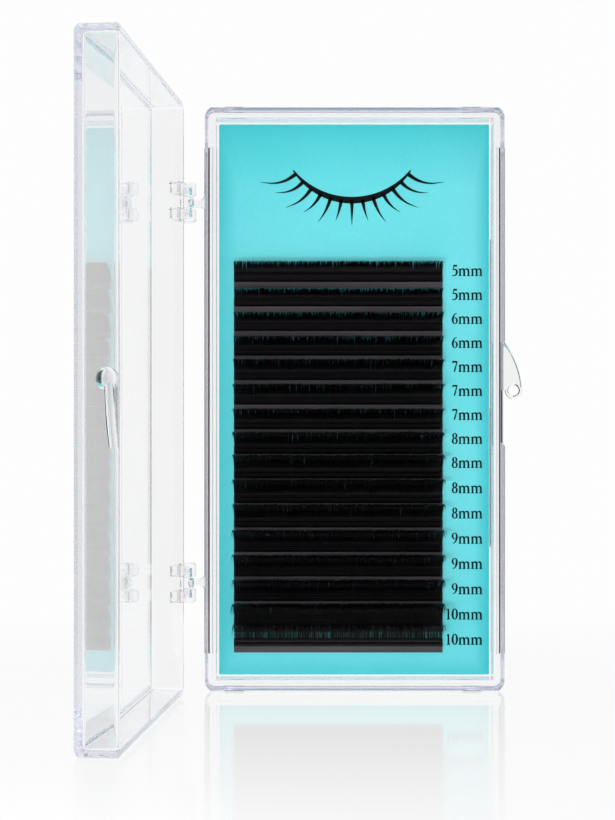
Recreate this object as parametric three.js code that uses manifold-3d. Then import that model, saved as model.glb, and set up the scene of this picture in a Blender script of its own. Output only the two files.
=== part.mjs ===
// A clear hinged lash palette, standing open on its short side.
// Millimetres, +Z up, +X to the right and +Y away from a person who looks into the open tray.
// The origin is the middle of the tray's foot, the short wall that the case stands on.
import * as THREE from "three";
import { mergeVertices } from "three/addons/utils/BufferGeometryUtils.js";
import Module from "manifold-3d";

const wasm = await Module();
wasm.setup();

// The case
const caseWidth = 55.2;
const caseHeight = 107.2;
const cornerRadius = 1.9;
const cornerSteps = 5;
const edgeBreak = 0.2;
const rimGap = 0.3;

// The tray
const trayDepth = 6.0;
const trayFloor = 1.6;
const trayBackRound = 1.5;
const landWidth = 1.55;
const lipWidth = 0.75;
const lipHeight = 0.7;
const pocketFillet = 0.2;

// The lid, and how far it stands open
const lidDepth = 6.75;
const lidFace = 1.05;
const lidWall = 1.3;
const lidDraft = 0.6;
const lidEndDraft = 0.12;
const lidFaceRound = 0.8;
const lidRimRound = 0.65;
const lidFillet = 0.85;
const restOpenDeg = 95.3;

// The hinges
const hingeReach = 3.15;
const hingeAhead = 0.15;
const hingeHeights = [20.0, 89.5];
const knuckleRadius = 1.35;
const knuckleHeight = 1.85;
const armThickness = 1.3;
const armDepth = 1.6;
const armFlare = 0.55;
const earRadius = 1.75;
const earHeight = 2.55;
const earGap = 0.15;
const earRound = 0.4;
const earDepth = 2.7;
const pinRadius = 0.62;
const pinLength = 1.2;
const pinClearance = 0.1;
const boreDepth = 1.6;
const roundSteps = 16;

// The catch
const catchHeight = 55.2;
const tabReach = 3.1;
const tabThickness = 1.5;
const trayTabLength = 8.9;
const lidTabLength = 10.2;
const tabCurve = 1.9;
const tabSteps = 7;
const ringRadius = 1.6;
const ringBore = 0.95;
const ballRadius = 1.7;
const ballClearance = 0.15;
const ballSteps = 8;
const recessDepth = 0.6;
const recessInset = 3.0;
const recessRamp = 1.0;
const recessBelow = 9.4;

// The card
const cardThickness = 0.65;
const cardClearance = 0.25;
const cardCorner = 0.2;
const film = 0.05;

// The lash rows, from the top down, by the length of their fibres
const rowLengths = [5, 5, 6, 6, 7, 7, 7, 8, 8, 8, 8, 9, 9, 9, 10, 10];
const firstRowTop = 76.9;
const rowPitch = 4.555;
const lastRowTop = 9.3;
const rowLeft = -22.3;
const rowWidth = 38.7;
const tapeHeight = 2.65;
const tapeThickness = 0.2;
const bandHeight = 1.5;
const bandThickness = 0.3;
const strandsPerRow = 19;
const strandWidth = 0.5;
const strandDepth = 0.16;
const rootLength = 1.5;
const rootEmbed = 0.12;
const rootLeanDeg = 11;
const shortestFibre = 5;
const shortestBend = 2.25;
const bendPerFibre = 0.27;
const strandRings = [
  { along: 0.36, scale: 0.85 },
  { along: 0.7, scale: 0.55 },
];

// Worked out from the above
const halfWidth = caseWidth / 2;
const yRim = -trayDepth / 2;
const yBack = trayDepth / 2;
const yFloor = yBack - trayFloor;
const trayWall = landWidth + lipWidth;
const yLidRim = yRim - rimGap;
const yLidOuter = yLidRim - lidDepth;
const yLidInner = yLidOuter + lidFace;
const axisX = -halfWidth - hingeReach;
const axisY = yLidRim - hingeAhead;
const yCardBack = yFloor - film;
const yCard = yCardBack - cardThickness;
const yTapeBack = yCard - film;
const yTape = yTapeBack - tapeThickness;
const yBandBack = yTape - film;
const yBand = yBandBack - bandThickness;

// A closed skin over rings of equal point counts, each end closed by a fan to its middle or to a given point.
function skin(rings, firstEnd, lastEnd) {
  const count = rings[0].length;
  const points = rings.flat();
  const middle = (ring) =>
    ring.reduce((sum, p) => sum.add(p), new THREE.Vector3()).divideScalar(count);
  const first = points.push(firstEnd ?? middle(rings[0])) - 1;
  const last = points.push(lastEnd ?? middle(rings.at(-1))) - 1;
  const faces = [];
  for (let k = 0; k < count; k++) {
    const next = (k + 1) % count;
    faces.push(first, next, k);
    for (let r = 0; r + 1 < rings.length; r++) {
      const low = r * count;
      const high = low + count;
      faces.push(low + k, low + next, high + next);
      faces.push(low + k, high + next, high + k);
    }
    const top = (rings.length - 1) * count;
    faces.push(last, top + k, top + next);
  }
  const geometry = new THREE.BufferGeometry().setFromPoints(points);
  geometry.setIndex(faces);
  return geometry;
}

// A solid for adding, cutting and meeting, turned to face out.
function solid(geometry) {
  const plain = geometry.clone();
  plain.deleteAttribute("normal");
  plain.deleteAttribute("uv");
  const merged = mergeVertices(plain, 1e-4);
  const build = (flip) => {
    const triVerts = new Uint32Array(merged.index.array);
    for (let i = 0; flip && i < triVerts.length; i += 3) {
      [triVerts[i + 1], triVerts[i + 2]] = [triVerts[i + 2], triVerts[i + 1]];
    }
    const vertProperties = new Float32Array(merged.attributes.position.array);
    return new wasm.Manifold(new wasm.Mesh({ numProp: 3, vertProperties, triVerts }));
  };
  const made = build(false);
  return made.volume() < 0 ? build(true) : made;
}

function geometryOf(made) {
  const { numProp, vertProperties, triVerts } = made.getMesh();
  const positions = new Float32Array((vertProperties.length / numProp) * 3);
  for (let i = 0; i * numProp < vertProperties.length; i++) {
    positions.set(vertProperties.subarray(i * numProp, i * numProp + 3), i * 3);
  }
  const geometry = new THREE.BufferGeometry();
  geometry.setAttribute("position", new THREE.BufferAttribute(positions, 3));
  geometry.setIndex([...triVerts]);
  geometry.computeVertexNormals();
  return geometry;
}

// A ring of the case's outline, drawn in by an inset, which can differ at its two short ends, at a depth y.
function caseRing(inset, y, radius = cornerRadius, endInset = inset) {
  const x = halfWidth - inset;
  const low = endInset;
  const high = caseHeight - endInset;
  const r = Math.max(radius - inset, edgeBreak);
  const centres = [
    [x - r, high - r],
    [-x + r, high - r],
    [-x + r, low + r],
    [x - r, low + r],
  ];
  return centres.flatMap(([cx, cz], corner) =>
    Array.from({ length: cornerSteps + 1 }, (_, k) => {
      const angle = (corner + k / cornerSteps) * (Math.PI / 2);
      return new THREE.Vector3(cx + r * Math.cos(angle), y, cz + r * Math.sin(angle));
    }),
  );
}

// Rings of a rounded edge between two insets, from turn 0 to 1, at a depth that changes by the radius.
function roundedEdge(insetFrom, insetTo, yFrom, yTo, steps = 3, endShift = 0) {
  return Array.from({ length: steps + 1 }, (_, k) => {
    const angle = (k / steps) * (Math.PI / 2);
    const inset = insetFrom + (insetTo - insetFrom) * Math.sin(angle);
    const y = yTo + (yFrom - yTo) * Math.cos(angle);
    return caseRing(inset, y, cornerRadius, inset + endShift);
  });
}

// A solid turned about the line x, y that is parallel to Z, from [radius, z] pairs.
function turned(x, y, profile, steps = roundSteps) {
  const rings = profile.map(([radius, z]) =>
    Array.from({ length: steps }, (_, k) => {
      const angle = (k / steps) * Math.PI * 2;
      return new THREE.Vector3(x + radius * Math.cos(angle), y + radius * Math.sin(angle), z);
    }),
  );
  return solid(skin(rings));
}

// The same about the line x, z that is parallel to Y, from [radius, y] pairs.
function turnedAlongY(x, z, profile, steps = roundSteps) {
  const rings = profile.map(([radius, y]) =>
    Array.from({ length: steps }, (_, k) => {
      const angle = (k / steps) * Math.PI * 2;
      return new THREE.Vector3(x + radius * Math.cos(angle), y, z + radius * Math.sin(angle));
    }),
  );
  return solid(skin(rings));
}

// A flat outline of [x, z] pairs, carried from one depth to another.
function plate(outline, yFrom, yTo) {
  const shape = new THREE.Shape(outline.map(([x, z]) => new THREE.Vector2(x, z)));
  const geometry = new THREE.ExtrudeGeometry(shape, { depth: 1, bevelEnabled: false });
  const position = geometry.attributes.position;
  for (let i = 0; i < position.count; i++) {
    const depth = position.getZ(i) < 0.5 ? yFrom : yTo;
    position.setXYZ(i, position.getX(i), depth, position.getY(i));
  }
  return solid(geometry);
}

function block(x0, x1, y0, y1, z0, z1) {
  const geometry = new THREE.BoxGeometry(x1 - x0, y1 - y0, z1 - z0);
  geometry.translate((x0 + x1) / 2, (y0 + y1) / 2, (z0 + z1) / 2);
  return solid(geometry);
}

const joined = (parts) => parts.reduce((sum, part) => sum.add(part));

// The outline of a catch tab, from its tip at the catch's height towards a thin end up or down the wall.
function tabOutline(length, side, root) {
  const edge = Array.from({ length: tabSteps + 1 }, (_, k) => {
    const along = k / tabSteps;
    const out = Math.max(tabReach * (1 - along ** tabCurve), 0);
    return [halfWidth + out, catchHeight + side * length * along];
  });
  return [...edge, [root, catchHeight + side * length], [root, catchHeight]];
}

function trayShell() {
  const back = roundedEdge(trayBackRound, 0, yBack, yBack - trayBackRound, 4);
  const rim = [
    caseRing(0, yRim + edgeBreak),
    caseRing(edgeBreak, yRim),
    caseRing(landWidth, yRim),
    caseRing(landWidth, yRim - lipHeight + edgeBreak),
    caseRing(landWidth + edgeBreak, yRim - lipHeight),
    caseRing(trayWall - edgeBreak, yRim - lipHeight),
    caseRing(trayWall, yRim - lipHeight + edgeBreak),
  ];
  const pocket = [
    caseRing(trayWall, yFloor - pocketFillet),
    caseRing(trayWall + pocketFillet, yFloor),
  ];
  const shell = solid(skin([...back, ...rim, ...pocket]));

  const hinges = hingeHeights.flatMap((z) => [trayKnuckle(z), trayArm(z)]);
  const recess = plate(
    [
      [halfWidth - recessDepth, catchHeight + trayTabLength],
      [halfWidth + 1, catchHeight + trayTabLength],
      [halfWidth + 1, catchHeight - recessBelow - recessRamp],
      [halfWidth, catchHeight - recessBelow - recessRamp],
      [halfWidth - recessDepth, catchHeight - recessBelow],
    ],
    yRim - 1,
    yRim + recessInset,
  );
  const root = halfWidth - recessDepth - edgeBreak;
  const tab = plate(tabOutline(trayTabLength, 1, root), yRim, yRim + tabThickness);
  const ring = turnedAlongY(halfWidth + ringRadius, catchHeight, [
    [ringRadius - edgeBreak, yRim],
    [ringRadius, yRim + edgeBreak],
    [ringRadius, yRim + tabThickness - edgeBreak],
    [ringRadius - edgeBreak, yRim + tabThickness],
  ]);
  const bore = turnedAlongY(halfWidth + ringRadius, catchHeight, [
    [ringBore, yRim - 1],
    [ringBore, yRim + tabThickness + 1],
  ]);
  return joined([shell.subtract(recess), tab, ring, ...hinges]).subtract(bore);
}

// The tray's knuckle with a moulded pin at each end.
function trayKnuckle(z) {
  const half = knuckleHeight / 2;
  const end = half + pinLength;
  return turned(axisX, axisY, [
    [pinRadius - edgeBreak, z - end],
    [pinRadius, z - end + edgeBreak],
    [pinRadius, z - half],
    [knuckleRadius - edgeBreak, z - half],
    [knuckleRadius, z - half + edgeBreak],
    [knuckleRadius, z + half - edgeBreak],
    [knuckleRadius - edgeBreak, z + half],
    [pinRadius, z + half],
    [pinRadius, z + end - edgeBreak],
    [pinRadius - edgeBreak, z + end],
  ]);
}

// The arm from the tray's wall to the knuckle, wider where it leaves the wall.
function trayArm(z) {
  const half = armThickness / 2;
  const root = -halfWidth + edgeBreak;
  const neck = -halfWidth - armFlare;
  const outline = [
    [axisX, z - half],
    [neck, z - half],
    [-halfWidth, z - half - armFlare],
    [root, z - half - armFlare],
    [root, z + half + armFlare],
    [-halfWidth, z + half + armFlare],
    [neck, z + half],
    [axisX, z + half],
  ];
  return plate(outline, yRim, yRim + armDepth);
}

// The lid as it lies on the closed tray.
function lidShell() {
  const face = roundedEdge(lidFaceRound, 0, yLidOuter, yLidOuter + lidFaceRound, 4);
  const rim = [
    ...roundedEdge(lidRimRound, 0, yLidRim, yLidRim - lidRimRound).reverse(),
    caseRing(lidWall - edgeBreak, yLidRim),
    caseRing(lidWall, yLidRim - edgeBreak),
  ];
  const rootWall = lidWall + lidDraft;
  const inside = roundedEdge(
    rootWall + lidFillet,
    rootWall,
    yLidInner,
    yLidInner + lidFillet,
    3,
    lidEndDraft - lidDraft,
  );
  const shell = solid(skin([...face, ...rim, ...inside.reverse()]));

  const half = knuckleHeight / 2 + earGap;
  const ears = hingeHeights.flatMap((z) => [
    lidEar(z + half, z + half + earHeight),
    lidEar(z - half - earHeight, z - half),
  ]);
  const bores = hingeHeights.map((z) =>
    turned(axisX, axisY, [
      [pinRadius + pinClearance, z - half - boreDepth],
      [pinRadius + pinClearance, z + half + boreDepth],
    ]),
  );
  const tab = plate(
    tabOutline(lidTabLength, -1, halfWidth - edgeBreak),
    yLidRim,
    yLidRim - tabThickness,
  );
  const ball = turnedAlongY(halfWidth + ringRadius, catchHeight, ballProfile());
  return joined([shell, tab, ball, ...ears]).subtract(joined(bores));
}

// The ball on the lid's tab, which dips into the mouth of the tray's ring.
function ballProfile() {
  const mouth = ringBore - ballClearance;
  const middle = yRim - Math.sqrt(ballRadius ** 2 - mouth ** 2);
  return Array.from({ length: ballSteps + 1 }, (_, k) => {
    const angle = ((k / ballSteps) * 160 - 80) * (Math.PI / 180);
    return [ballRadius * Math.cos(angle), middle + ballRadius * Math.sin(angle)];
  });
}

// One hinge ear of the lid: a round end about the axis, and a web to the lid's wall.
function lidEar(low, high) {
  const end = turned(axisX, axisY, [
    [earRadius - earRound, low],
    [earRadius, low + earRound],
    [earRadius, high - earRound],
    [earRadius - earRound, high],
  ]);
  const web = block(
    axisX - edgeBreak,
    -halfWidth + edgeBreak,
    axisY - earDepth,
    yLidRim,
    low + 1.3 * edgeBreak,
    high - 1.3 * edgeBreak,
  );
  return end.add(web);
}

function cardSolid() {
  const inset = trayWall + cardClearance;
  const rings = [
    caseRing(inset, yCardBack, inset + cardCorner),
    caseRing(inset, yCard, inset + cardCorner),
  ];
  return solid(skin(rings));
}

// The fibres of one row on their root band. Each leaves the band's top edge along the card and curls out of it.
function lashRow(rowTop, fibre, row) {
  const bend = shortestBend + bendPerFibre * (fibre - shortestFibre);
  const pitch = rowWidth / strandsPerRow;
  const yRoot = (yBand + yBandBack) / 2;
  const rootLean = THREE.MathUtils.degToRad(rootLeanDeg);
  const band = block(rowLeft, rowLeft + rowWidth, yBand, yBandBack, rowTop - bandHeight, rowTop);
  const strands = Array.from({ length: strandsPerRow }, (_, k) => {
    const x = rowLeft + (k + 0.5) * pitch;
    const trim = 1 - 0.03 * (1 + Math.sin(1.7 * k + row));
    const lean = 0.12 * Math.sin(2.4 * k + 1.3 * row);
    const turn = ((fibre - rootLength) * trim) / bend;
    const at = (along) => {
      const angle = rootLean + turn * along;
      const out = yRoot - bend * (Math.cos(rootLean) - Math.cos(angle));
      const up = rowTop + bend * (Math.sin(angle) - Math.sin(rootLean));
      return new THREE.Vector3(x + lean * along, out, up);
    };
    const section = (along, scale) => {
      const middle = at(along);
      const angle = rootLean + turn * along;
      const front = new THREE.Vector3(0, -Math.cos(angle), -Math.sin(angle));
      return [
        [-0.5 * strandWidth, -0.5 * strandDepth],
        [0.5 * strandWidth, -0.5 * strandDepth],
        [0, 0.5 * strandDepth],
      ].map(([side, face]) =>
        middle.clone().addScaledVector(front, face * scale).add(new THREE.Vector3(side * scale, 0, 0)),
      );
    };
    const root = section(0, 1).map((p) => p.add(new THREE.Vector3(0, 0, -rootEmbed)));
    const rings = strandRings.map(({ along, scale }) => section(along, scale));
    return solid(skin([root, ...rings], undefined, at(1)));
  });
  return joined([band, ...strands]);
}

const group = new THREE.Group();
group.name = "lash_palette";

function piece(name, made, material) {
  const mesh = new THREE.Mesh(geometryOf(made), material);
  mesh.name = name;
  group.add(mesh);
  return mesh;
}

const clear = new THREE.MeshStandardMaterial({
  color: 0xeef4f5,
  roughness: 0.05,
  transparent: true,
  opacity: 0.3,
});
const teal = new THREE.MeshStandardMaterial({ color: 0x58cfd6, roughness: 0.6 });
const satin = new THREE.MeshStandardMaterial({ color: 0x3a393c, roughness: 0.5 });
const black = new THREE.MeshStandardMaterial({ color: 0x0b0a0c, roughness: 0.4 });

piece("tray", trayShell(), clear);

// The lid is made as it lies on the tray, then swung open about the hinges' axis.
const lid = piece("lid", lidShell(), clear);
lid.geometry.translate(-axisX, -axisY, 0);
lid.geometry.rotateZ(THREE.MathUtils.degToRad(-restOpenDeg));
lid.geometry.translate(axisX, axisY, 0);

piece("card", cardSolid(), teal);

rowLengths.forEach((fibre, row) => {
  const number = String(row + 1).padStart(2, "0");
  const last = row === rowLengths.length - 1;
  const rowTop = last ? lastRowTop : firstRowTop - rowPitch * row;
  const tape = block(
    rowLeft,
    rowLeft + rowWidth,
    yTape,
    yTapeBack,
    rowTop - tapeHeight,
    rowTop,
  );
  piece(`lash_tape_${number}`, tape, satin);
  piece(`lash_row_${number}`, lashRow(rowTop, fibre, row), black);
});

export default group;
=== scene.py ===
"""The looks of a clear hinged lash palette: its shells, its printed card and its sixteen rows of lashes."""

import math

import bmesh
import bpy
import numpy as np
from mathutils import Matrix, Vector


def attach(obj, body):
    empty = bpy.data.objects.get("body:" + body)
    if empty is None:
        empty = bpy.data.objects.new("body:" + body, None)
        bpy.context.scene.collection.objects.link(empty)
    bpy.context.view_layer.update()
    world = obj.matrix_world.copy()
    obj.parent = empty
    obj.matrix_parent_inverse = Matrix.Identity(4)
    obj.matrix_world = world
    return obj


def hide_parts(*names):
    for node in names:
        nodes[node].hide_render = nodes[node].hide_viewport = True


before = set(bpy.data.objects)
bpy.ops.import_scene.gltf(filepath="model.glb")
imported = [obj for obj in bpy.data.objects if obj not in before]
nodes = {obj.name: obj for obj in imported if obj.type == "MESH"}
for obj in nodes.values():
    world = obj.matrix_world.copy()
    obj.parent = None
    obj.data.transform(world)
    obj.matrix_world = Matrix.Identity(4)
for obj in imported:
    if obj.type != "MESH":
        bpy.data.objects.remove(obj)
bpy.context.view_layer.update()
scene = bpy.context.scene

# Sizes in millimetres, as in the part
MM = 0.001
CASE_WIDTH = 55.2
CASE_HEIGHT = 107.2
CORNER_RADIUS = 1.9
RIM_GAP = 0.3
HALF_WIDTH = CASE_WIDTH / 2
CORNER_STEPS = 10
FILLET_STEPS = 5
ROUND_STEPS = 48

TRAY_DEPTH = 6.0
TRAY_FLOOR = 1.6
TRAY_BACK_ROUND = 1.5
LAND_WIDTH = 1.55
LIP_WIDTH = 0.75
LIP_HEIGHT = 0.7
TRAY_WALL = LAND_WIDTH + LIP_WIDTH
Y_RIM = -TRAY_DEPTH / 2
Y_BACK = TRAY_DEPTH / 2
Y_FLOOR = Y_BACK - TRAY_FLOOR

LID_DEPTH = 6.75
LID_FACE = 1.05
LID_WALL = 1.3
LID_DRAFT = 0.6
LID_END_DRAFT = 0.12
LID_RIM_ROUND = 0.65
LID_FILLET = 0.85
LID_OPEN_DEG = 95.3
Y_LID_RIM = Y_RIM - RIM_GAP
Y_LID_OUTER = Y_LID_RIM - LID_DEPTH
Y_LID_INNER = Y_LID_OUTER + LID_FACE

HINGE_REACH = 3.15
HINGE_AHEAD = 0.15
HINGE_HEIGHTS = (20.0, 89.5)
AXIS_X = -HALF_WIDTH - HINGE_REACH
AXIS_Y = Y_LID_RIM - HINGE_AHEAD
KNUCKLE_RADIUS = 1.35
KNUCKLE_HEIGHT = 1.85
ARM_THICKNESS = 1.3
ARM_DEPTH = 1.6
ARM_FLARE = 0.55
EAR_RADIUS = 1.75
EAR_HEIGHT = 2.55
EAR_GAP = 0.15
EAR_DEPTH = 2.7
PIN_RADIUS = 0.62
PIN_LENGTH = 1.2
PIN_CLEARANCE = 0.1
BORE_DEPTH = 1.6

CATCH_HEIGHT = 55.2
TAB_REACH = 3.1
TAB_THICKNESS = 1.5
TRAY_TAB_LENGTH = 8.9
LID_TAB_LENGTH = 10.2
TAB_CURVE = 1.9
TAB_STEPS = 18
TAB_ROUND = 0.6
TRAY_TAB_INSET = 0.15
RING_RADIUS = 1.6
RING_BORE = 0.95
RING_STEPS = 16
RING_HALF_DEPTH = 0.5
BALL_RADIUS = 1.7
BALL_CLEARANCE = 0.15
BALL_STEPS = 24
RECESS_DEPTH = 0.6
RECESS_INSET = 3.0
RECESS_RAMP = 1.0
RECESS_BELOW = 9.4

FILM = 0.05
CARD_THICKNESS = 0.65
Y_CARD = Y_FLOOR - FILM - CARD_THICKNESS
ROW_LENGTHS = (5, 5, 6, 6, 7, 7, 7, 8, 8, 8, 8, 9, 9, 9, 10, 10)
FIRST_ROW_TOP = 76.9
ROW_PITCH = 4.555
LAST_ROW_TOP = 9.3
ROW_LEFT = -22.3
ROW_WIDTH = 38.7
BAND_HEIGHT = 1.5
Y_BAND_BACK = Y_CARD - FILM - 0.2 - FILM
BAND_THICKNESS = 0.3


def row_top(row):
    """Height of the top edge of a row's tape, counted from the top row."""
    if row == len(ROW_LENGTHS) - 1:
        return LAST_ROW_TOP
    return FIRST_ROW_TOP - ROW_PITCH * row


# Shapes
def add_object(name, points, faces, scale=1.0):
    mesh = bpy.data.meshes.new(name)
    mesh.from_pydata(np.asarray(points, float) * scale, [], faces)
    mesh.update()
    obj = bpy.data.objects.new(name, mesh)
    scene.collection.objects.link(obj)
    return obj


def face_out(obj):
    """Turns all faces of a closed mesh outwards."""
    bm = bmesh.new()
    bm.from_mesh(obj.data)
    bmesh.ops.recalc_face_normals(bm, faces=bm.faces)
    bm.to_mesh(obj.data)
    bm.free()
    return obj


def skin(rings):
    """Points and faces of a closed skin over rings of equal point counts."""
    count = len(rings[0])
    faces = [tuple(reversed(range(count)))]
    for r in range(len(rings) - 1):
        low = r * count
        high = low + count
        for k in range(count):
            after = (k + 1) % count
            faces.append((low + k, low + after, high + after, high + k))
    top = (len(rings) - 1) * count
    faces.append(tuple(range(top, top + count)))
    return np.vstack(rings), faces


def filleted(profile, steps=FILLET_STEPS):
    """A line of corners (a, b, radius), with each corner rounded to its radius."""
    line = [profile[0][:2]]
    for before, corner, after in zip(profile, profile[1:], profile[2:]):
        at = Vector(corner[:2])
        radius = corner[2]
        if radius == 0:
            line.append(tuple(at))
            continue
        back = (Vector(before[:2]) - at).normalized()
        ahead = (Vector(after[:2]) - at).normalized()
        half = math.acos(back.dot(ahead)) / 2
        centre = at + (back + ahead).normalized() * radius / math.sin(half)
        first = (at + back * radius / math.tan(half) - centre) / radius
        last = (at + ahead * radius / math.tan(half) - centre) / radius
        spread = math.acos(first.dot(last))
        for k in range(steps + 1):
            turn = spread * k / steps
            out = (first * math.sin(spread - turn) + last * math.sin(turn)) / math.sin(spread)
            line.append(tuple(centre + out * radius))
    line.append(profile[-1][:2])
    return line


def case_ring(inset, y, end_inset=None):
    """The case's outline, drawn in by an inset, which can differ at its short ends, at a depth y."""
    if end_inset is None:
        end_inset = inset
    x = HALF_WIDTH - inset
    r = max(CORNER_RADIUS - inset, 0.2)
    low = end_inset + r
    high = CASE_HEIGHT - end_inset - r
    centres = ((x - r, high), (-x + r, high), (-x + r, low), (x - r, low))
    ring = []
    for corner, (cx, cz) in enumerate(centres):
        for k in range(CORNER_STEPS + 1):
            angle = (corner + k / CORNER_STEPS) * math.pi / 2
            ring.append((cx + r * math.cos(angle), y, cz + r * math.sin(angle)))
    return np.array(ring)


def turned(name, centre, profile, axis):
    """A solid turned about an axis parallel to Z or Y, from (radius, height along the axis) pairs."""
    rings = []
    for radius, along in profile:
        angles = np.arange(ROUND_STEPS) * (2 * math.pi / ROUND_STEPS)
        first = centre[0] + radius * np.cos(angles)
        second = centre[1] + radius * np.sin(angles)
        level = np.full(ROUND_STEPS, along)
        columns = (first, second, level) if axis == "Z" else (first, level, second)
        rings.append(np.column_stack(columns))
    return face_out(add_object(name, *skin(rings)))


def plate(name, outline, y_from, y_to, rounding=0.0):
    """A flat outline of (x, z) pairs carried from one depth to another, with its edges rounded."""
    rings = [np.array([(x, y, z) for x, z in outline]) for y in (y_from, y_to)]
    obj = face_out(add_object(name, *skin(rings)))
    if rounding:
        bm = bmesh.new()
        bm.from_mesh(obj.data)
        sharp = [e for e in bm.edges if e.calc_face_angle(0) > math.radians(40)]
        bmesh.ops.bevel(
            bm, geom=sharp, offset=rounding, segments=3, profile=0.5, affect="EDGES", clamp_overlap=True
        )
        bm.to_mesh(obj.data)
        bm.free()
    return obj


def combine(base, others, operation):
    """Adds solids to a base or cuts them from it, and removes them."""
    for other in others:
        step = base.modifiers.new(other.name, "BOOLEAN")
        step.operation = operation
        step.solver = "MANIFOLD"
        step.object = other
    bpy.context.view_layer.update()
    made = base.evaluated_get(bpy.context.evaluated_depsgraph_get())
    mesh = bpy.data.meshes.new_from_object(made)
    base.modifiers.clear()
    base.data = mesh
    for other in others:
        bpy.data.objects.remove(other)
    return base


def finish_shell(obj):
    """Brings a shell from millimetres to metres, and shades its rounds smooth and its flats flat."""
    obj.data.transform(Matrix.Scale(MM, 4))
    obj.data.shade_smooth()
    obj.data.set_sharp_from_angle(angle=math.radians(38))
    weighted = obj.modifiers.new("flat_faces_stay_flat", "WEIGHTED_NORMAL")
    weighted.weight = 100
    weighted.keep_sharp = True
    return obj


def catch_tab(length, side, root, y_from, y_to):
    """A catch tab with a round outer edge, from its tip at the catch to a thin end along the wall."""
    edge = []
    for k in range(TAB_STEPS + 1):
        along = k / TAB_STEPS
        out = TAB_REACH * (1 - along**TAB_CURVE)
        slope = -TAB_REACH * TAB_CURVE * along ** (TAB_CURVE - 1)
        normal = Vector((length, -side * slope)).normalized()
        edge.append((HALF_WIDTH + out, CATCH_HEIGHT + side * length * along, normal))
    levels = []
    depth = abs(y_to - y_from)
    for k in range(FILLET_STEPS + 1):
        angle = math.pi / 2 * k / FILLET_STEPS
        levels.append((TAB_ROUND * (1 - math.sin(angle)), TAB_ROUND * (1 - math.cos(angle))))
    levels += [(inset, depth - down) for inset, down in reversed(levels)]
    rings = []
    for inset, down in levels:
        y = y_from + down * math.copysign(1, y_to - y_from)
        ring = [(x - normal.x * inset, y, z - normal.y * inset) for x, z, normal in edge]
        ring.append((root, y, CATCH_HEIGHT + side * length))
        ring.append((root, y, CATCH_HEIGHT))
        rings.append(np.array(ring))
    return face_out(add_object("tab", *skin(rings)))


def tray_shell():
    section = filleted(
        [
            (3.0, Y_BACK, 0),
            (0, Y_BACK, TRAY_BACK_ROUND),
            (0, Y_RIM, 0.3),
            (LAND_WIDTH, Y_RIM, 0.12),
            (LAND_WIDTH, Y_RIM - LIP_HEIGHT, 0.22),
            (TRAY_WALL, Y_RIM - LIP_HEIGHT, 0.22),
            (TRAY_WALL, Y_FLOOR, 0.2),
            (4.0, Y_FLOOR, 0),
        ]
    )
    shell = face_out(add_object("tray_shell", *skin([case_ring(*p) for p in section])))
    recess = plate(
        "recess",
        [
            (HALF_WIDTH - RECESS_DEPTH, CATCH_HEIGHT + TRAY_TAB_LENGTH),
            (HALF_WIDTH + 1, CATCH_HEIGHT + TRAY_TAB_LENGTH),
            (HALF_WIDTH + 1, CATCH_HEIGHT - RECESS_BELOW - RECESS_RAMP),
            (HALF_WIDTH, CATCH_HEIGHT - RECESS_BELOW - RECESS_RAMP),
            (HALF_WIDTH - RECESS_DEPTH, CATCH_HEIGHT - RECESS_BELOW),
        ],
        Y_RIM - 1,
        Y_RIM + RECESS_INSET,
    )
    combine(shell, [recess], "DIFFERENCE")
    root = HALF_WIDTH - RECESS_DEPTH - 0.3
    tab_front = Y_RIM + TRAY_TAB_INSET
    tab_back = Y_RIM + TAB_THICKNESS - TRAY_TAB_INSET
    tab = catch_tab(TRAY_TAB_LENGTH, 1, root, tab_front, tab_back)
    place = (HALF_WIDTH + RING_RADIUS, CATCH_HEIGHT)
    ring = turned("ring", place, ring_section(1), "Y")
    bore = turned("bore", place, ring_section(-1), "Y")
    hinges = []
    for z in HINGE_HEIGHTS:
        hinges += [tray_knuckle(z), tray_arm(z)]
    combine(shell, [tab, ring, *hinges], "UNION")
    combine(shell, [bore], "DIFFERENCE")
    return finish_shell(shell)


def ring_section(side):
    """Half of the ring's oval section: its outside for a side of 1, and its bore for a side of -1."""
    middle = (RING_RADIUS + RING_BORE) / 2
    wide = (RING_RADIUS - RING_BORE) / 2
    centre = Y_RIM + TAB_THICKNESS / 2
    oval_half = []
    for k in range(RING_STEPS + 1):
        angle = math.pi * (k / RING_STEPS - 0.5)
        radius = middle + side * wide * math.cos(angle)
        oval_half.append((radius, centre + RING_HALF_DEPTH * math.sin(angle)))
    if side > 0:
        return oval_half
    return [(middle, Y_RIM - 1), *oval_half, (middle, Y_RIM + TAB_THICKNESS + 1)]


def tray_knuckle(z):
    """A hinge knuckle with a moulded pin at each end."""
    half = KNUCKLE_HEIGHT / 2
    end = half + PIN_LENGTH
    section = filleted(
        [
            (0.1, z - end, 0),
            (PIN_RADIUS, z - end, 0.2),
            (PIN_RADIUS, z - half, 0.08),
            (KNUCKLE_RADIUS, z - half, 0.4),
            (KNUCKLE_RADIUS, z + half, 0.4),
            (PIN_RADIUS, z + half, 0.08),
            (PIN_RADIUS, z + end, 0.2),
            (0.1, z + end, 0),
        ]
    )
    return turned("knuckle", (AXIS_X, AXIS_Y), section, "Z")


def tray_arm(z):
    """The arm that carries a knuckle, wider where it leaves the wall."""
    half = ARM_THICKNESS / 2
    root = -HALF_WIDTH + 0.4
    neck = -HALF_WIDTH - ARM_FLARE
    outline = [
        (AXIS_X, z - half),
        (neck, z - half),
        (-HALF_WIDTH, z - half - ARM_FLARE),
        (root, z - half - ARM_FLARE),
        (root, z + half + ARM_FLARE),
        (-HALF_WIDTH, z + half + ARM_FLARE),
        (neck, z + half),
        (AXIS_X, z + half),
    ]
    return plate("arm", outline, Y_RIM, Y_RIM + ARM_DEPTH, 0.2)


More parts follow.
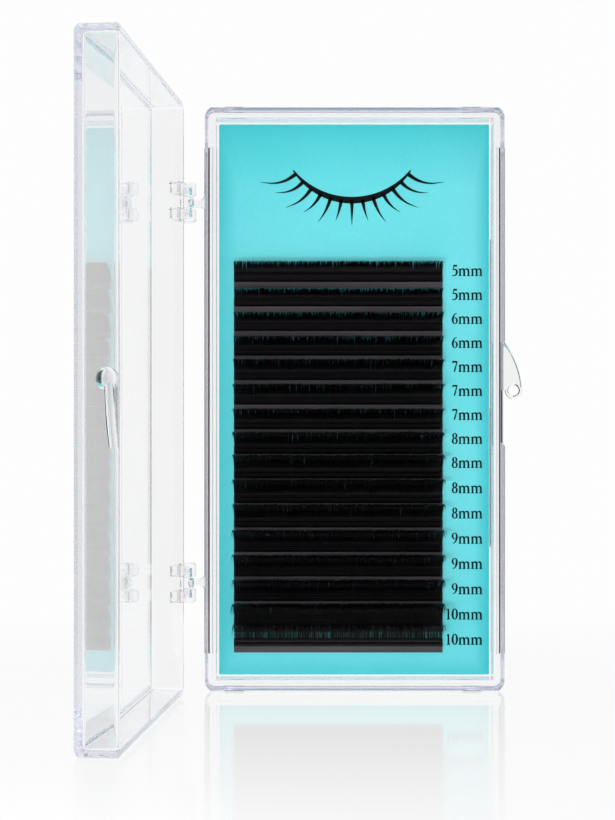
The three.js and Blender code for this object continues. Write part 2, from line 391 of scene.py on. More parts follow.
def lid_section(draft):
    """The lid's wall in section, thicker by its draft at the root."""
    return filleted(
        [
            (3.5, Y_LID_OUTER, 0),
            (0, Y_LID_OUTER, 0.8),
            (0, Y_LID_RIM, LID_RIM_ROUND),
            (LID_WALL, Y_LID_RIM, 0.18),
            (LID_WALL + draft, Y_LID_INNER, LID_FILLET),
            (4.0, Y_LID_INNER, 0),
        ]
    )


def lid_shell():
    rings = []
    for side, end in zip(lid_section(LID_DRAFT), lid_section(LID_END_DRAFT)):
        rings.append(case_ring(side[0], side[1], end[0]))
    shell = face_out(add_object("lid_shell", *skin(rings)))
    half = KNUCKLE_HEIGHT / 2 + EAR_GAP
    ears = []
    bores = []
    for z in HINGE_HEIGHTS:
        ears += lid_ear(z + half, z + half + EAR_HEIGHT)
        ears += lid_ear(z - half - EAR_HEIGHT, z - half)
        radius = PIN_RADIUS + PIN_CLEARANCE
        bore = [(radius, z - half - BORE_DEPTH), (radius, z + half + BORE_DEPTH)]
        bores.append(turned("pin_bore", (AXIS_X, AXIS_Y), bore, "Z"))
    tab = catch_tab(LID_TAB_LENGTH, -1, HALF_WIDTH - 0.4, Y_LID_RIM, Y_LID_RIM - TAB_THICKNESS)
    mouth = RING_BORE - BALL_CLEARANCE
    middle = Y_RIM - math.sqrt(BALL_RADIUS**2 - mouth**2)
    section = []
    for k in range(BALL_STEPS + 1):
        angle = math.radians(172 * k / BALL_STEPS - 86)
        section.append((BALL_RADIUS * math.cos(angle), middle + BALL_RADIUS * math.sin(angle)))
    ball = turned("ball", (HALF_WIDTH + RING_RADIUS, CATCH_HEIGHT), section, "Y")
    combine(shell, [tab, ball, *ears], "UNION")
    combine(shell, bores, "DIFFERENCE")
    axis = Matrix.Translation((AXIS_X, AXIS_Y, 0))
    swing = Matrix.Rotation(math.radians(-LID_OPEN_DEG), 4, "Z")
    shell.data.transform(axis @ swing @ axis.inverted())
    return finish_shell(shell)


def lid_ear(low, high):
    """A hinge ear: a round end about the axis, and a web to the lid's wall."""
    section = filleted(
        [(0.1, low, 0), (EAR_RADIUS, low, 0.45), (EAR_RADIUS, high, 0.45), (0.1, high, 0)]
    )
    end = turned("ear", (AXIS_X, AXIS_Y), section, "Z")
    outline = [
        (AXIS_X - 0.2, low + 0.26),
        (-HALF_WIDTH + 0.4, low + 0.26),
        (-HALF_WIDTH + 0.4, high - 0.26),
        (AXIS_X - 0.2, high - 0.26),
    ]
    web = plate("ear_web", outline, AXIS_Y - EAR_DEPTH, Y_LID_RIM, 0.3)
    return [end, web]


# Lashes: each row is a glue band and some hundreds of tapered fibres that curl out of the card
FIBRES_PER_ROW = 820
LAST_ROW_FIBRES = 360
FIBRE_RADIUS = 0.07
FIBRE_SEGMENTS = 6
ROOT_LEAN = math.radians(11)
FREE_START = 1.5
CLUMP_WIDTH = 1.15
END_FLARE = 0.07
BEAD_HEIGHT = 0.42
FILM_EDGE = 0.2
# How much higher or lower than the even rows some rows' tips stand, by row
TIP_RISE = {0: 0.3, 1: -0.12, 2: -0.25, 3: -0.1, 8: 0.35, 9: 0.4, 10: 0.4}


def fibre_row(row, rng):
    fibre = ROW_LENGTHS[row]
    top = row_top(row)
    points = []
    faces = []

    def add(part_points, part_faces):
        start = len(points)
        points.extend(part_points)
        faces.extend(tuple(start + i for i in face) for face in part_faces)

    add(*glue_band(top, rng))
    count = FIBRES_PER_ROW if row < len(ROW_LENGTHS) - 1 else LAST_ROW_FIBRES
    for k in range(count):
        share = (k + rng.uniform(0.1, 0.9)) / count
        x = ROW_LEFT + 0.06 + share * (ROW_WIDTH - 0.12)
        clump_index = math.floor((x - ROW_LEFT) / CLUMP_WIDTH + 0.5 * math.sin(7 * row))
        clump = ROW_LEFT + (clump_index + 0.5) * CLUMP_WIDTH
        pull = 0.02 * fibre * (clump - x) * rng.uniform(0.2, 1.0)
        left_end = math.exp(-(x - ROW_LEFT) / 0.9)
        right_end = math.exp(-(ROW_LEFT + ROW_WIDTH - x) / 0.9)
        flare = END_FLARE * (fibre - 4.5) * (right_end - left_end)
        lean = pull + rng.normal(0, 0.011 * fibre) + flare
        add(*fibre_skin(x, row, lean, rng))
    return np.array(points), faces


def glue_band(top, rng):
    """The glue film over the roots, with a wavy bead along its upper edge and one near its lower edge."""
    steps = 90
    rings = []
    film_front = Y_BAND_BACK - 0.15
    low = top - BAND_HEIGHT
    phases = rng.uniform(0, 2 * math.pi, 3)
    for k in range(steps + 1):
        x = ROW_LEFT + ROW_WIDTH * k / steps
        wave = math.sin(0.9 * x + phases[0])
        wave += 0.7 * math.sin(2.1 * x + phases[1])
        wave += 0.4 * math.sin(4.7 * x + phases[2])
        bead = Y_BAND_BACK - BAND_THICKNESS * (0.93 + 0.03 * wave)
        ring = [(x, Y_BAND_BACK, low), (x, Y_BAND_BACK, top)]
        for bead_top in (top - 0.03 + 0.012 * wave, low + FILM_EDGE + BEAD_HEIGHT + 0.018 * wave):
            for turn in (0, 30, 60, 90, 120, 150, 180):
                angle = math.radians(turn)
                out = film_front + (bead - film_front) * math.sin(angle)
                ring.append((x, out, bead_top - BEAD_HEIGHT / 2 * (1 - math.cos(angle))))
        ring.append((x, film_front, low))
        rings.append(np.array(ring))
    made, faces = skin(rings)
    return made.tolist(), faces


def fibre_skin(x, row, lean, rng):
    """One closed fibre: a root in the bead of glue, then a curl out of the card, tapering to a point."""
    fibre = ROW_LENGTHS[row]
    top = row_top(row)
    bend = (2.25 + 0.27 * (fibre - 5)) * rng.uniform(0.98, 1.015)
    free = (fibre - FREE_START) * rng.uniform(0.96, 1.0)
    start_lean = ROOT_LEAN * rng.uniform(0.7, 1.3)
    turn = free / bend
    rise = bend * (math.sin(min(start_lean + turn, math.pi / 2)) - math.sin(start_lean))
    stretch = 1 + TIP_RISE.get(row, 0) / rise
    y_root = Y_BAND_BACK - BAND_THICKNESS * rng.uniform(0.25, 0.45)
    radius = FIBRE_RADIUS * rng.uniform(0.6, 1.2)
    stations = [(x, y_root, top - rng.uniform(0.2, 0.4), 0.0, radius)]
    for k in range(FIBRE_SEGMENTS + 1):
        along = k / FIBRE_SEGMENTS
        angle = start_lean + turn * along
        y = y_root - bend * (math.cos(start_lean) - math.cos(angle))
        z = top + stretch * bend * (math.sin(angle) - math.sin(start_lean))
        taper = radius * (1 - 0.85 * along**2.6)
        stations.append((x + lean * along**1.4, y, z, angle, taper))
    made = []
    for cx, cy, cz, angle, size in stations[:-1]:
        out_y = -math.cos(angle)
        out_z = -math.sin(angle)
        for side, face in ((-0.87, -0.5), (0.87, -0.5), (0.0, 1.0)):
            made.append((cx + side * size, cy + out_y * face * size, cz + out_z * face * size))
    made.append(stations[-1][:3])
    faces = [(0, 1, 2)]
    rings = len(stations) - 1
    for r in range(rings - 1):
        low = 3 * r
        for k in range(3):
            after = (k + 1) % 3
            faces.append((low + k, low + 3 + k, low + 3 + after, low + after))
    tip = 3 * rings
    low = 3 * (rings - 1)
    for k in range(3):
        faces.append((low + k, tip, low + (k + 1) % 3))
    return made, faces


# Print: strokes of ink with a changing width, on the card's face
INK_DEPTH = 0.03


def smooth_line(line, per_span):
    """More points along a line of (x, z, width), on a smooth curve through them."""
    line = [np.array(p, float) for p in line]
    if len(line) == 2:
        return line
    ends = [2 * line[0] - line[1], *line, 2 * line[-1] - line[-2]]
    made = []
    for a, b, c, d in zip(ends, ends[1:], ends[2:], ends[3:]):
        for k in range(per_span):
            t = k / per_span
            made.append(
                0.5
                * (2 * b + (c - a) * t + (2 * a - 5 * b + 4 * c - d) * t**2 + (3 * b - a - 3 * c + d) * t**3)
            )
    made.append(line[-1])
    return made


def ink_stroke(line, origin, size, per_span=4):
    """A closed thin stroke on the card, from (x, z, width) points in a glyph's own units."""
    line = smooth_line(line, per_span)
    rings = []
    for k, point in enumerate(line):
        before = line[max(k - 1, 0)]
        after = line[min(k + 1, len(line) - 1)]
        run = Vector((after[0] - before[0], after[1] - before[1])).normalized()
        side = Vector((-run.y, run.x)) * point[2] / 2
        left = (origin[0] + (point[0] + side.x) * size, origin[1] + (point[1] + side.y) * size)
        right = (origin[0] + (point[0] - side.x) * size, origin[1] + (point[1] - side.y) * size)
        front = Y_CARD - INK_DEPTH
        back = Y_CARD + 0.02
        rings.append(
            np.array(
                [
                    (left[0], front, left[1]),
                    (right[0], front, right[1]),
                    (right[0], back, right[1]),
                    (left[0], back, left[1]),
                ]
            )
        )
    return skin(rings)


def oval(cx, cz, rx, rz, thick, thin, steps=20):
    """A closed loop of a glyph, thick at its sides and thin at its top and foot."""
    line = []
    for k in range(steps + 1):
        angle = math.pi / 2 + 2 * math.pi * k / steps
        width = thin + (thick - thin) * abs(math.cos(angle)) ** 1.3
        line.append((cx + rx * math.cos(angle), cz + rz * math.sin(angle), width))
    return line


SIX = [
    (0.44, 0.985, 0.03),
    (0.27, 0.89, 0.06),
    (0.12, 0.62, 0.10),
    (0.09, 0.32, 0.115),
    (0.15, 0.08, 0.075),
    (0.27, 0.02, 0.045),
    (0.40, 0.10, 0.075),
    (0.445, 0.31, 0.11),
    (0.39, 0.50, 0.08),
    (0.27, 0.575, 0.045),
    (0.13, 0.48, 0.035),
]


def arch(left):
    """One arch of an m, thin where it leaves the stem before it."""
    return [
        (left, 0.50, 0.03),
        (left + 0.12, 0.635, 0.07),
        (left + 0.28, 0.60, 0.105),
        (left + 0.33, 0.42, 0.105),
        (left + 0.33, 0.02, 0.10),
    ]


FIGURES = {
    "0": [oval(0.26, 0.5, 0.19, 0.48, 0.115, 0.045)],
    "1": [
        [(0.27, 0.985, 0.10), (0.27, 0.02, 0.10)],
        [(0.11, 0.85, 0.03), (0.27, 0.955, 0.075)],
        [(0.11, 0.022, 0.045), (0.43, 0.022, 0.045)],
    ],
    "5": [
        [(0.15, 0.935, 0.11), (0.45, 0.95, 0.11)],
        [(0.18, 0.97, 0.05), (0.10, 0.56, 0.05)],
        [
            (0.10, 0.56, 0.04),
            (0.26, 0.615, 0.07),
            (0.41, 0.50, 0.10),
            (0.435, 0.30, 0.115),
            (0.34, 0.09, 0.08),
            (0.18, 0.02, 0.05),
            (0.06, 0.06, 0.09),
        ],
    ],
    "6": [SIX],
    "7": [
        [(0.07, 0.935, 0.10), (0.47, 0.935, 0.10)],
        [(0.085, 0.95, 0.05), (0.045, 0.78, 0.03)],
        [(0.455, 0.93, 0.06), (0.22, 0.01, 0.085)],
    ],
    "8": [oval(0.26, 0.755, 0.145, 0.215, 0.10, 0.045), oval(0.26, 0.27, 0.18, 0.25, 0.105, 0.045)],
    "9": [[(0.52 - x, 1.0 - z, w) for x, z, w in SIX]],
    "m": [
        [(0.16, 0.66, 0.10), (0.16, 0.02, 0.10)],
        [(0.03, 0.60, 0.03), (0.16, 0.645, 0.07)],
        arch(0.18),
        arch(0.54),
        [(0.03, 0.022, 0.045), (0.29, 0.022, 0.045)],
        [(0.38, 0.022, 0.045), (0.64, 0.022, 0.045)],
        [(0.74, 0.022, 0.045), (1.00, 0.022, 0.045)],
    ],
}
ADVANCE = {"m": 1.06}
FIGURE_ADVANCE = 0.55
FIGURE_HEIGHT = 2.0
STROKE_WEIGHT = 1.65
FIGURE_STRETCH = 1.09
LABEL_RIGHT = 23.95
FIRST_LABEL_HEIGHT = 77.55
LABEL_PITCH = 4.457
LABEL_PITCH_LOW = 4.69
LOW_LABELS_FROM = 8


def printed_labels():
    """The fibre length beside each row."""
    points = []
    faces = []
    for row, fibre in enumerate(ROW_LENGTHS):
        words = f"{fibre}mm"
        step = FIGURE_HEIGHT * FIGURE_STRETCH
        width = sum(ADVANCE.get(c, FIGURE_ADVANCE) for c in words) * step
        x = LABEL_RIGHT - width
        low_rows = max(row - LOW_LABELS_FROM, 0)
        drop = LABEL_PITCH * (row - low_rows) + LABEL_PITCH_LOW * low_rows
        z = FIRST_LABEL_HEIGHT - drop - FIGURE_HEIGHT / 2
        for c in words:
            for stroke in FIGURES[c]:
                heavy = [(px * FIGURE_STRETCH, pz, w * STROKE_WEIGHT) for px, pz, w in stroke]
                made, made_faces = ink_stroke(heavy, (x, z), FIGURE_HEIGHT)
                start = len(points)
                points.extend(made.tolist())
                faces.extend(tuple(start + i for i in face) for face in made_faces)
            x += ADVANCE.get(c, FIGURE_ADVANCE) * step
    return face_out(add_object("row_labels", points, faces, MM))


def printed_motif():
    """A plain fan of lashes under a lid line, in the card's header."""
    centre = (-0.4, 94.6)
    half_angle = math.radians(54)
    lid_radius = 13.5
    strokes = []
    arc = []
    for k in range(17):
        share = k / 16 * 2 - 1
        angle = share * half_angle
        width = 0.25 + 1.0 * (1 - share**2)
        arc.append((lid_radius * math.sin(angle), 9.5 - lid_radius * math.cos(angle), width))
    strokes.append(arc)
    for k in range(13):
        share = k / 12 * 2 - 1
        angle = share * half_angle * 0.93
        reach = 4.6 + 1.8 * abs(share) - 0.9 * (k % 2)
        line = []
        for step in range(4):
            along = step / 3
            radius = lid_radius + reach * along
            swing = angle + 0.16 * share * along**2
            line.append(
                (radius * math.sin(swing), 9.5 - radius * math.cos(swing), 0.72 * (1 - along) + 0.06)
            )
        strokes.append(line)
    points = []
    faces = []
    for stroke in strokes:
        made, made_faces = ink_stroke(stroke, centre, 1.0)
        start = len(points)
        points.extend(made.tolist())
        faces.extend(tuple(start + i for i in face) for face in made_faces)
    return face_out(add_object("card_motif", points, faces, MM))


# Materials
def material(name):
    made = bpy.data.materials.new(name)
    made.use_nodes = True
    tree = made.node_tree
    tree.nodes.clear()
    out = tree.nodes.new("ShaderNodeOutputMaterial")
    return made, tree, out


def node(tree, kind, **settings):
    made = tree.nodes.new(kind)
    for key, value in settings.items():
        if hasattr(made, key):
            setattr(made, key, value)
        else:
            made.inputs[key.replace("_", " ")].default_value = value
    return made


def noise(tree, scale, detail=3.0, stretch=(1, 1, 1)):
    """Noise by the object's own place, with its coordinates stretched."""
    place = node(tree, "ShaderNodeTexCoord")
    mapping = node(tree, "ShaderNodeMapping")
    mapping.inputs["Scale"].default_value = stretch
    made = node(tree, "ShaderNodeTexNoise", Scale=scale, Detail=detail)
    tree.links.new(place.outputs["Object"], mapping.inputs["Vector"])
    tree.links.new(mapping.outputs["Vector"], made.inputs["Vector"])
    return made


def ramp(tree, source, low, high, at=(0.3, 0.7)):
    """A colour ramp between two colours, driven by a value."""
    made = tree.nodes.new("ShaderNodeValToRGB")
    made.color_ramp.elements[0].position = at[0]
    made.color_ramp.elements[1].position = at[1]
    made.color_ramp.elements[0].color = (*low, 1)
    made.color_ramp.elements[1].color = (*high, 1)
    tree.links.new(source, made.inputs["Fac"])
    return made


def ranged(tree, source, low, high, source_low=0.3, source_high=0.7):
    made = tree.nodes.new("ShaderNodeMapRange")
    made.inputs["From Min"].default_value = source_low
    made.inputs["From Max"].default_value = source_high
    made.inputs["To Min"].default_value = low
    made.inputs["To Max"].default_value = high
    tree.links.new(source, made.inputs["Value"])
    return made.outputs["Result"]


def bump(tree, source, shader, strength, distance):
    made = node(tree, "ShaderNodeBump", Strength=strength, Distance=distance)
    tree.links.new(source, made.inputs["Height"])
    tree.links.new(made.outputs["Normal"], shader.inputs["Normal"])


# After so many bounces inside the plastic, light is let out
TRAPPED_DEPTH = 15


def clear_plastic():
    made, tree, out = material("clear_plastic")
    shader = node(tree, "ShaderNodeBsdfPrincipled")
    shader.inputs["Transmission Weight"].default_value = 1.0
    shader.inputs["IOR"].default_value = 1.52
    cloud = noise(tree, 60.0, 2.0)
    tint = ramp(tree, cloud.outputs["Fac"], (0.975, 0.978, 0.985), (0.99, 0.992, 0.995))
    tree.links.new(tint.outputs["Color"], shader.inputs["Base Color"])
    haze = noise(tree, 900.0, 4.0, (1, 1, 0.2))
    tree.links.new(ranged(tree, haze.outputs["Fac"], 0.0, 0.035, 0.45, 0.8), shader.inputs["Roughness"])
    flow = noise(tree, 45.0, 1.0)
    bump(tree, flow.outputs["Fac"], shader, 0.05, 0.0006)
    see_through = node(tree, "ShaderNodeBsdfTransparent")
    see_through.inputs["Color"].default_value = (0.975, 0.977, 0.98, 1)
    path = node(tree, "ShaderNodeLightPath")
    trapped = node(tree, "ShaderNodeMath", operation="GREATER_THAN")
    trapped.inputs[1].default_value = TRAPPED_DEPTH
    tree.links.new(path.outputs["Ray Depth"], trapped.inputs[0])
    passes = node(tree, "ShaderNodeMath", operation="MAXIMUM")
    tree.links.new(path.outputs["Is Shadow Ray"], passes.inputs[0])
    tree.links.new(trapped.outputs[0], passes.inputs[1])
    mix = node(tree, "ShaderNodeMixShader")
    tree.links.new(passes.outputs[0], mix.inputs[0])
    tree.links.new(shader.outputs[0], mix.inputs[1])
    tree.links.new(see_through.outputs[0], mix.inputs[2])
    tree.links.new(mix.outputs[0], out.inputs["Surface"])
    absorb = node(tree, "ShaderNodeVolumeAbsorption", Density=14.0)
    absorb.inputs["Color"].default_value = (0.76, 0.77, 0.87, 1)
    tree.links.new(absorb.outputs[0], out.inputs["Volume"])
    return made


def card_print():
    """Teal card stock: fine paper fibre, soft cloudy ink, and painted shade that deepens the teal towards
    its edges.
    """
    made, tree, out = material("card_print")
    shader = node(tree, "ShaderNodeBsdfPrincipled")
    shader.inputs["Specular IOR Level"].default_value = 0.3
    cloud = noise(tree, 28.0, 3.0)
    ink = ramp(tree, cloud.outputs["Fac"], (0.092, 0.590, 0.640), (0.150, 0.635, 0.685))
    fibre = noise(tree, 2600.0, 3.0, (1, 1, 0.5))
    speck = ramp(tree, fibre.outputs["Fac"], (0.93, 0.96, 0.96), (1.0, 1.0, 1.0), (0.25, 0.6))
    # Painted shade: within a few millimetres of the card's edges, most at its top and right, the teal is
    # mixed towards a deeper teal to stand for the shade that the tray's walls cast
    place = node(tree, "ShaderNodeTexCoord")
    split = node(tree, "ShaderNodeSeparateXYZ")
    tree.links.new(place.outputs["Object"], split.inputs[0])
    right = ranged(tree, split.outputs["X"], 0.0, 1.0, 0.0222, 0.0250)
    left = ranged(tree, split.outputs["X"], 0.7, 0.0, -0.0250, -0.0215)
    high = ranged(tree, split.outputs["Z"], 0.0, 0.8, 0.0930, 0.1046)
    low = ranged(tree, split.outputs["Z"], 0.6, 0.0, 0.0026, 0.0056)
    side_shade_mask = node(tree, "ShaderNodeMath", operation="MAXIMUM")
    tree.links.new(right, side_shade_mask.inputs[0])
    tree.links.new(left, side_shade_mask.inputs[1])
    ends = node(tree, "ShaderNodeMath", operation="MAXIMUM")
    tree.links.new(high, ends.inputs[0])
    tree.links.new(low, ends.inputs[1])
    edge = node(tree, "ShaderNodeMath", operation="MAXIMUM")
    tree.links.new(side_shade_mask.outputs[0], edge.inputs[0])
    tree.links.new(ends.outputs[0], edge.inputs[1])
    # The deeper teal of the painted edge shade
    painted_edge_shade = node(tree, "ShaderNodeMix", data_type="RGBA")
    painted_edge_shade.inputs[7].default_value = (0.035, 0.490, 0.550, 1)
    tree.links.new(edge.outputs[0], painted_edge_shade.inputs[0])
    tree.links.new(ink.outputs["Color"], painted_edge_shade.inputs[6])
    blend = node(tree, "ShaderNodeMix", data_type="RGBA", blend_type="MULTIPLY")
    blend.inputs[0].default_value = 1.0
    tree.links.new(painted_edge_shade.outputs[2], blend.inputs[6])
    tree.links.new(speck.outputs["Color"], blend.inputs[7])
    tree.links.new(blend.outputs[2], shader.inputs["Base Color"])
    tree.links.new(ranged(tree, cloud.outputs["Fac"], 0.46, 0.58), shader.inputs["Roughness"])
    bump(tree, fibre.outputs["Fac"], shader, 0.12, 0.00003)
    tree.links.new(shader.outputs[0], out.inputs["Surface"])
    return made


def ink_black():
    made, tree, out = material("ink_black")
    shader = node(tree, "ShaderNodeBsdfPrincipled")
    grain = noise(tree, 3000.0, 2.0)
    tone = ramp(tree, grain.outputs["Fac"], (0.003, 0.005, 0.006), (0.008, 0.011, 0.012))
    shader.inputs["Specular IOR Level"].default_value = 0.08
    tree.links.new(tone.outputs["Color"], shader.inputs["Base Color"])
    tree.links.new(ranged(tree, grain.outputs["Fac"], 0.6, 0.75), shader.inputs["Roughness"])
    tree.links.new(shader.outputs[0], out.inputs["Surface"])
    return made


def tape_satin():
    """Dark satin tape with fine streaks along its length."""
    made, tree, out = material("tape_satin")
    shader = node(tree, "ShaderNodeBsdfPrincipled")
    shader.inputs["Specular IOR Level"].default_value = 0.22
    streak = noise(tree, 420.0, 4.0, (0.08, 1, 2.2))
    tone = ramp(tree, streak.outputs["Fac"], (0.040, 0.036, 0.041), (0.080, 0.071, 0.081))
    tree.links.new(tone.outputs["Color"], shader.inputs["Base Color"])
    tree.links.new(ranged(tree, streak.outputs["Fac"], 0.34, 0.5), shader.inputs["Roughness"])
    bump(tree, streak.outputs["Fac"], shader, 0.35, 0.00008)
    tree.links.new(shader.outputs[0], out.inputs["Surface"])
    return made


def fibre_black():
    """Black lash fibre, with a little gloss that changes from fibre to fibre."""
    made, tree, out = material("fibre_black")
    shader = node(tree, "ShaderNodeBsdfPrincipled")
    shader.inputs["Specular IOR Level"].default_value = 0.24
    strand = noise(tree, 2200.0, 2.0, (1, 0.2, 0.06))
    tone = ramp(tree, strand.outputs["Fac"], (0.0006, 0.0006, 0.0008), (0.0018, 0.0017, 0.0021))
    tree.links.new(tone.outputs["Color"], shader.inputs["Base Color"])
    tree.links.new(ranged(tree, strand.outputs["Fac"], 0.14, 0.24), shader.inputs["Roughness"])
    tree.links.new(shader.outputs[0], out.inputs["Surface"])
    return made


def paint(obj, made):
    obj.data.materials.clear()
    obj.data.materials.append(made)


def dress(obj, body, slot, made, *replaced):
    """Gives a piece its material and its body, and hides the nodes it stands for; its slot is not used."""
    paint(obj, made)
    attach(obj, body)
    if replaced:
        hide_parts(*replaced)


CLEAR = clear_plastic()
CARD = card_print()
INK = ink_black()
SATIN = tape_satin()
BLACK = fibre_black()

dress(tray_shell(), "tray_body", "clear_plastic", CLEAR, "tray")
dress(lid_shell(), "lid_body", "clear_plastic", CLEAR, "lid")
paint(nodes["card"], CARD)
dress(printed_labels(), "tray_body", "card_print", INK)
dress(printed_motif(), "tray_body", "card_print", INK)

lash_rng = np.random.default_rng(11)
for row_index in range(len(ROW_LENGTHS)):
    number = f"{row_index + 1:02d}"
    paint(nodes[f"lash_tape_{number}"], SATIN)
    fibre_points, fibre_faces = fibre_row(row_index, lash_rng)
    fibres = face_out(add_object(f"lash_fibres_{number}", fibre_points, fibre_faces, MM))
    fibres.data.shade_smooth()
    fibres.data.set_sharp_from_angle(angle=math.radians(130))
    dress(fibres, "tray_body", "fibre_black", BLACK, f"lash_row_{number}")


# The backdrop's brightness as the camera sees it
BACKDROP = 0.985


# The studio: a pale floor that mirrors a little near the case, a soft white surround and soft lamps
def studio_floor():
    size = 3.0
    floor = add_object(
        "floor",
        [(-size, -size, 0), (size, -size, 0), (size, size, 0), (-size, size, 0)],
        [(0, 1, 2, 3)],
    )
    floor.location.z = -0.00005
    floor.visible_transmission = False
    made, tree, out = material("studio_floor")
    lit = node(tree, "ShaderNodeBsdfDiffuse")
    lit.inputs["Color"].default_value = (0.9, 0.9, 0.9, 1)
    white = node(tree, "ShaderNodeEmission", Strength=BACKDROP)
    place = node(tree, "ShaderNodeTexCoord")
    split = node(tree, "ShaderNodeSeparateXYZ")
    tree.links.new(place.outputs["Object"], split.inputs[0])
    path = node(tree, "ShaderNodeLightPath")
    seen = node(tree, "ShaderNodeMath", operation="MAXIMUM")
    seen_all = node(tree, "ShaderNodeMath", operation="MAXIMUM")
    share = node(tree, "ShaderNodeMath", operation="MULTIPLY")
    away = node(tree, "ShaderNodeMath", operation="MAXIMUM")
    tree.links.new(ranged(tree, split.outputs["Y"], 0.88, 1.0, 0.0, 0.12), away.inputs[0])
    tree.links.new(ranged(tree, split.outputs["Y"], 0.88, 1.0, -0.15, -0.3), away.inputs[1])
    tree.links.new(away.outputs[0], share.inputs[1])
    tree.links.new(path.outputs["Is Camera Ray"], seen.inputs[0])
    tree.links.new(path.outputs["Is Glossy Ray"], seen.inputs[1])
    tree.links.new(seen.outputs[0], seen_all.inputs[0])
    tree.links.new(path.outputs["Is Transmission Ray"], seen_all.inputs[1])
    tree.links.new(seen_all.outputs[0], share.inputs[0])
    base = node(tree, "ShaderNodeMixShader")
    tree.links.new(share.outputs[0], base.inputs[0])
    tree.links.new(lit.outputs[0], base.inputs[1])
    tree.links.new(white.outputs[0], base.inputs[2])
    unlit = node(tree, "ShaderNodeEmission", Strength=0.06)
    far = node(tree, "ShaderNodeMath", operation="MULTIPLY")
    tree.links.new(path.outputs["Is Glossy Ray"], far.inputs[0])
    tree.links.new(ranged(tree, split.outputs["Y"], 1.0, 0.0, -0.17, -0.12), far.inputs[1])
    seen_floor = node(tree, "ShaderNodeMixShader")
    tree.links.new(far.outputs[0], seen_floor.inputs[0])
    tree.links.new(base.outputs[0], seen_floor.inputs[1])
    tree.links.new(unlit.outputs[0], seen_floor.inputs[2])
    mirror = node(tree, "ShaderNodeBsdfGlossy", Roughness=0.06)
    mirror.inputs["Color"].default_value = (1, 1, 1, 1)
    fade = node(tree, "ShaderNodeMath", operation="MULTIPLY")
    tree.links.new(ranged(tree, split.outputs["Y"], 0.04, 0.28, -0.1, -0.003), fade.inputs[0])
    tree.links.new(ranged(tree, split.outputs["Y"], 1.0, 0.0, 0.004, 0.08), fade.inputs[1])
    top = node(tree, "ShaderNodeMixShader")
    tree.links.new(fade.outputs[0], top.inputs[0])
    tree.links.new(seen_floor.outputs[0], top.inputs[1])
    tree.links.new(mirror.outputs[0], top.inputs[2])
    tree.links.new(top.outputs[0], out.inputs["Surface"])
    floor.data.materials.append(made)


# Dark cards close behind the case, out of the camera's sight: clear edges show them as thin dark lines
FLAG_Y = 12.0
LEFT_FLAG = (-24.6, -21.0, 5.0, CASE_HEIGHT - 5.0)
RIGHT_FLAG = (21.2, 24.8, 5.0, CASE_HEIGHT - 5.0)
CATCH_FLAG = (33.2, 75.0, CATCH_HEIGHT - 30, CATCH_HEIGHT + 30)
UNDER_CATCH_FLAG = (30.4, 33.2, CATCH_HEIGHT - 30, CATCH_HEIGHT - 3.0)


def dark_flag(name, left, right, low, high):
    corners = [(left, FLAG_Y, low), (right, FLAG_Y, low), (right, FLAG_Y, high), (left, FLAG_Y, high)]
    flag = add_object(name, corners, [(0, 1, 2, 3)], MM)
    flag.visible_camera = False
    flag.visible_diffuse = False
    flag.visible_glossy = False
    flag.visible_shadow = False
    made, tree, out = material(name)
    cloth = node(tree, "ShaderNodeBsdfDiffuse")
    cloth.inputs["Color"].default_value = (0.03, 0.03, 0.03, 1)
    gap = node(tree, "ShaderNodeBsdfTransparent")
    path = node(tree, "ShaderNodeLightPath")
    lets_light = node(tree, "ShaderNodeMixShader")
    tree.links.new(path.outputs["Diffuse Depth"], lets_light.inputs[0])
    tree.links.new(cloth.outputs[0], lets_light.inputs[1])
    tree.links.new(gap.outputs[0], lets_light.inputs[2])
    tree.links.new(lets_light.outputs[0], out.inputs["Surface"])
    flag.data.materials.append(made)


# How bright the studio's sides look, and its front: inside plastic, mirrored, to a lit surface, straight on
SIDE_TONE = 0.96
FRONT_TONE = 0.3
MIRRORED_FRONT_TONE = 0.05
LIT_FRONT_TONE = 0.8
THROUGH_TONE = 0.96


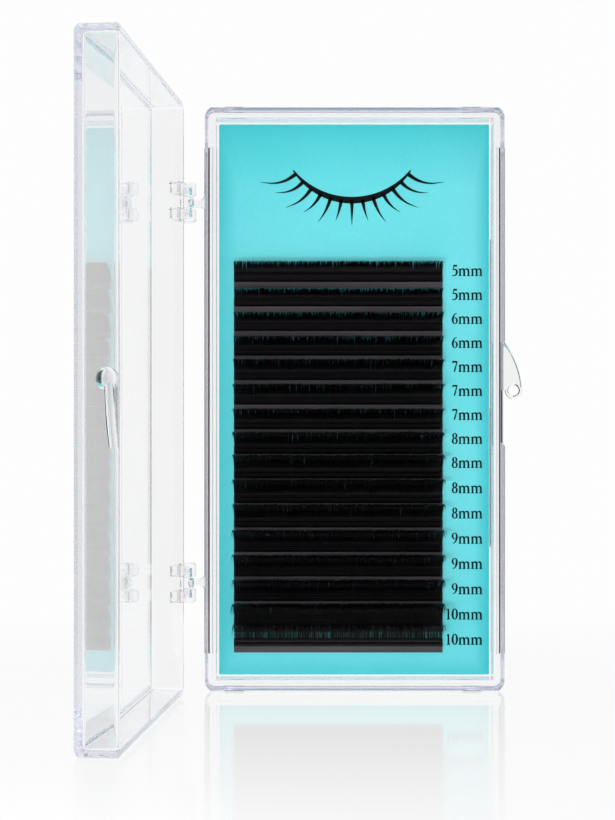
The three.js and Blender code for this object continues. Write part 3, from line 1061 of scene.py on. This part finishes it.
def studio_world():
    """White for the camera, light all round, and for clear plastic white with a darker front."""
    world = bpy.data.worlds.new("studio")
    world.use_nodes = True
    tree = world.node_tree
    tree.nodes.clear()
    out = tree.nodes.new("ShaderNodeOutputWorld")
    light = node(tree, "ShaderNodeBackground", Strength=0.52)
    light.inputs["Color"].default_value = (1, 1, 1, 1)
    white = node(tree, "ShaderNodeBackground", Strength=BACKDROP)
    white.inputs["Color"].default_value = (1, 1, 1, 1)
    surround = node(tree, "ShaderNodeBackground", Strength=1.0)
    place = node(tree, "ShaderNodeTexCoord")
    split = node(tree, "ShaderNodeSeparateXYZ")
    tree.links.new(place.outputs["Generated"], split.inputs[0])
    path = node(tree, "ShaderNodeLightPath")
    through = ranged(tree, path.outputs["Glossy Depth"], THROUGH_TONE, FRONT_TONE, 0.0, 1.0)
    seen_front = node(tree, "ShaderNodeMath", operation="MULTIPLY")
    tree.links.new(path.outputs["Is Transmission Ray"], seen_front.inputs[0])
    tree.links.new(through, seen_front.inputs[1])
    lit_front = ranged(tree, path.outputs["Diffuse Depth"], MIRRORED_FRONT_TONE, LIT_FRONT_TONE, 0.0, 1.0)
    front = node(tree, "ShaderNodeMath", operation="MAXIMUM")
    tree.links.new(seen_front.outputs[0], front.inputs[0])
    tree.links.new(lit_front, front.inputs[1])
    behind = ranged(tree, split.outputs["Y"], 0.0, SIDE_TONE, -0.5, -0.25)
    round_about = node(tree, "ShaderNodeMath", operation="MAXIMUM")
    tree.links.new(front.outputs[0], round_about.inputs[0])
    tree.links.new(behind, round_about.inputs[1])
    above = ranged(tree, split.outputs["Z"], 0.0, 0.75, 0.28, 0.5)
    below = node(tree, "ShaderNodeMath", operation="MULTIPLY")
    tree.links.new(ranged(tree, split.outputs["Z"], 0.0, 0.95, -0.05, -0.2), below.inputs[0])
    tree.links.new(ranged(tree, split.outputs["Y"], 0.0, 1.0, -0.7, -0.4), below.inputs[1])
    ends = node(tree, "ShaderNodeMath", operation="MAXIMUM")
    tree.links.new(above, ends.inputs[0])
    tree.links.new(below.outputs[0], ends.inputs[1])
    most = node(tree, "ShaderNodeMath", operation="MAXIMUM")
    tree.links.new(round_about.outputs[0], most.inputs[0])
    tree.links.new(ends.outputs[0], most.inputs[1])
    tree.links.new(most.outputs[0], surround.inputs["Color"])
    seen = node(tree, "ShaderNodeMath", operation="MAXIMUM")
    tree.links.new(path.outputs["Is Glossy Ray"], seen.inputs[0])
    tree.links.new(path.outputs["Is Transmission Ray"], seen.inputs[1])
    first = node(tree, "ShaderNodeMixShader")
    tree.links.new(seen.outputs[0], first.inputs[0])
    tree.links.new(light.outputs[0], first.inputs[1])
    tree.links.new(surround.outputs[0], first.inputs[2])
    last = node(tree, "ShaderNodeMixShader")
    tree.links.new(path.outputs["Is Camera Ray"], last.inputs[0])
    tree.links.new(first.outputs[0], last.inputs[1])
    tree.links.new(white.outputs[0], last.inputs[2])
    tree.links.new(last.outputs[0], out.inputs["Surface"])
    scene.world = world


def lamp(name, place, target, size, watts, mirrored):
    data = bpy.data.lights.new(name, "AREA")
    data.shape = "RECTANGLE"
    data.size = size[0]
    data.size_y = size[1]
    data.energy = watts
    obj = bpy.data.objects.new(name, data)
    obj.location = place
    obj.rotation_euler = (Vector(target) - Vector(place)).to_track_quat("-Z", "Y").to_euler()
    obj.visible_camera = False
    obj.visible_transmission = False
    obj.visible_glossy = mirrored
    scene.collection.objects.link(obj)


def studio_camera():
    data = bpy.data.cameras.new("camera")
    data.lens = 66.2
    data.sensor_width = 36.0
    data.shift_y = 0.0272
    data.clip_start = 0.005
    camera = bpy.data.objects.new("camera", data)
    camera.location = (-0.00865, -0.2793, 0.0475)
    camera.rotation_euler = (math.radians(90), 0, 0)
    scene.collection.objects.link(camera)
    scene.camera = camera


studio_floor()
dark_flag("left_flag", *LEFT_FLAG)
dark_flag("right_flag", *RIGHT_FLAG)
dark_flag("catch_flag", *CATCH_FLAG)
dark_flag("under_catch_flag", *UNDER_CATCH_FLAG)
studio_world()
lamp("front", (-0.03, -0.75, 0.03), (0, 0, 0.04), (0.45, 0.34), 1.7, False)
lamp("low", (-0.05, -0.17, 0.02), (-0.02, 0, 0.02), (0.08, 0.02), 0.14, False)
lamp("key", (-0.20, -0.42, 0.42), (0, 0, 0.055), (0.35, 0.25), 0.42, False)
lamp("fill", (0.40, -0.36, 0.10), (0, 0, 0.045), (0.25, 0.40), 0.3, False)
lamp("top", (0.0, -0.05, 0.55), (0, 0, 0.05), (0.4, 0.3), 0.35, True)
studio_camera()
scene.view_settings.view_transform = "Standard"
scene.cycles.max_bounces = 40
scene.cycles.transmission_bounces = 40
scene.cycles.glossy_bounces = 16
scene.cycles.transparent_max_bounces = 24
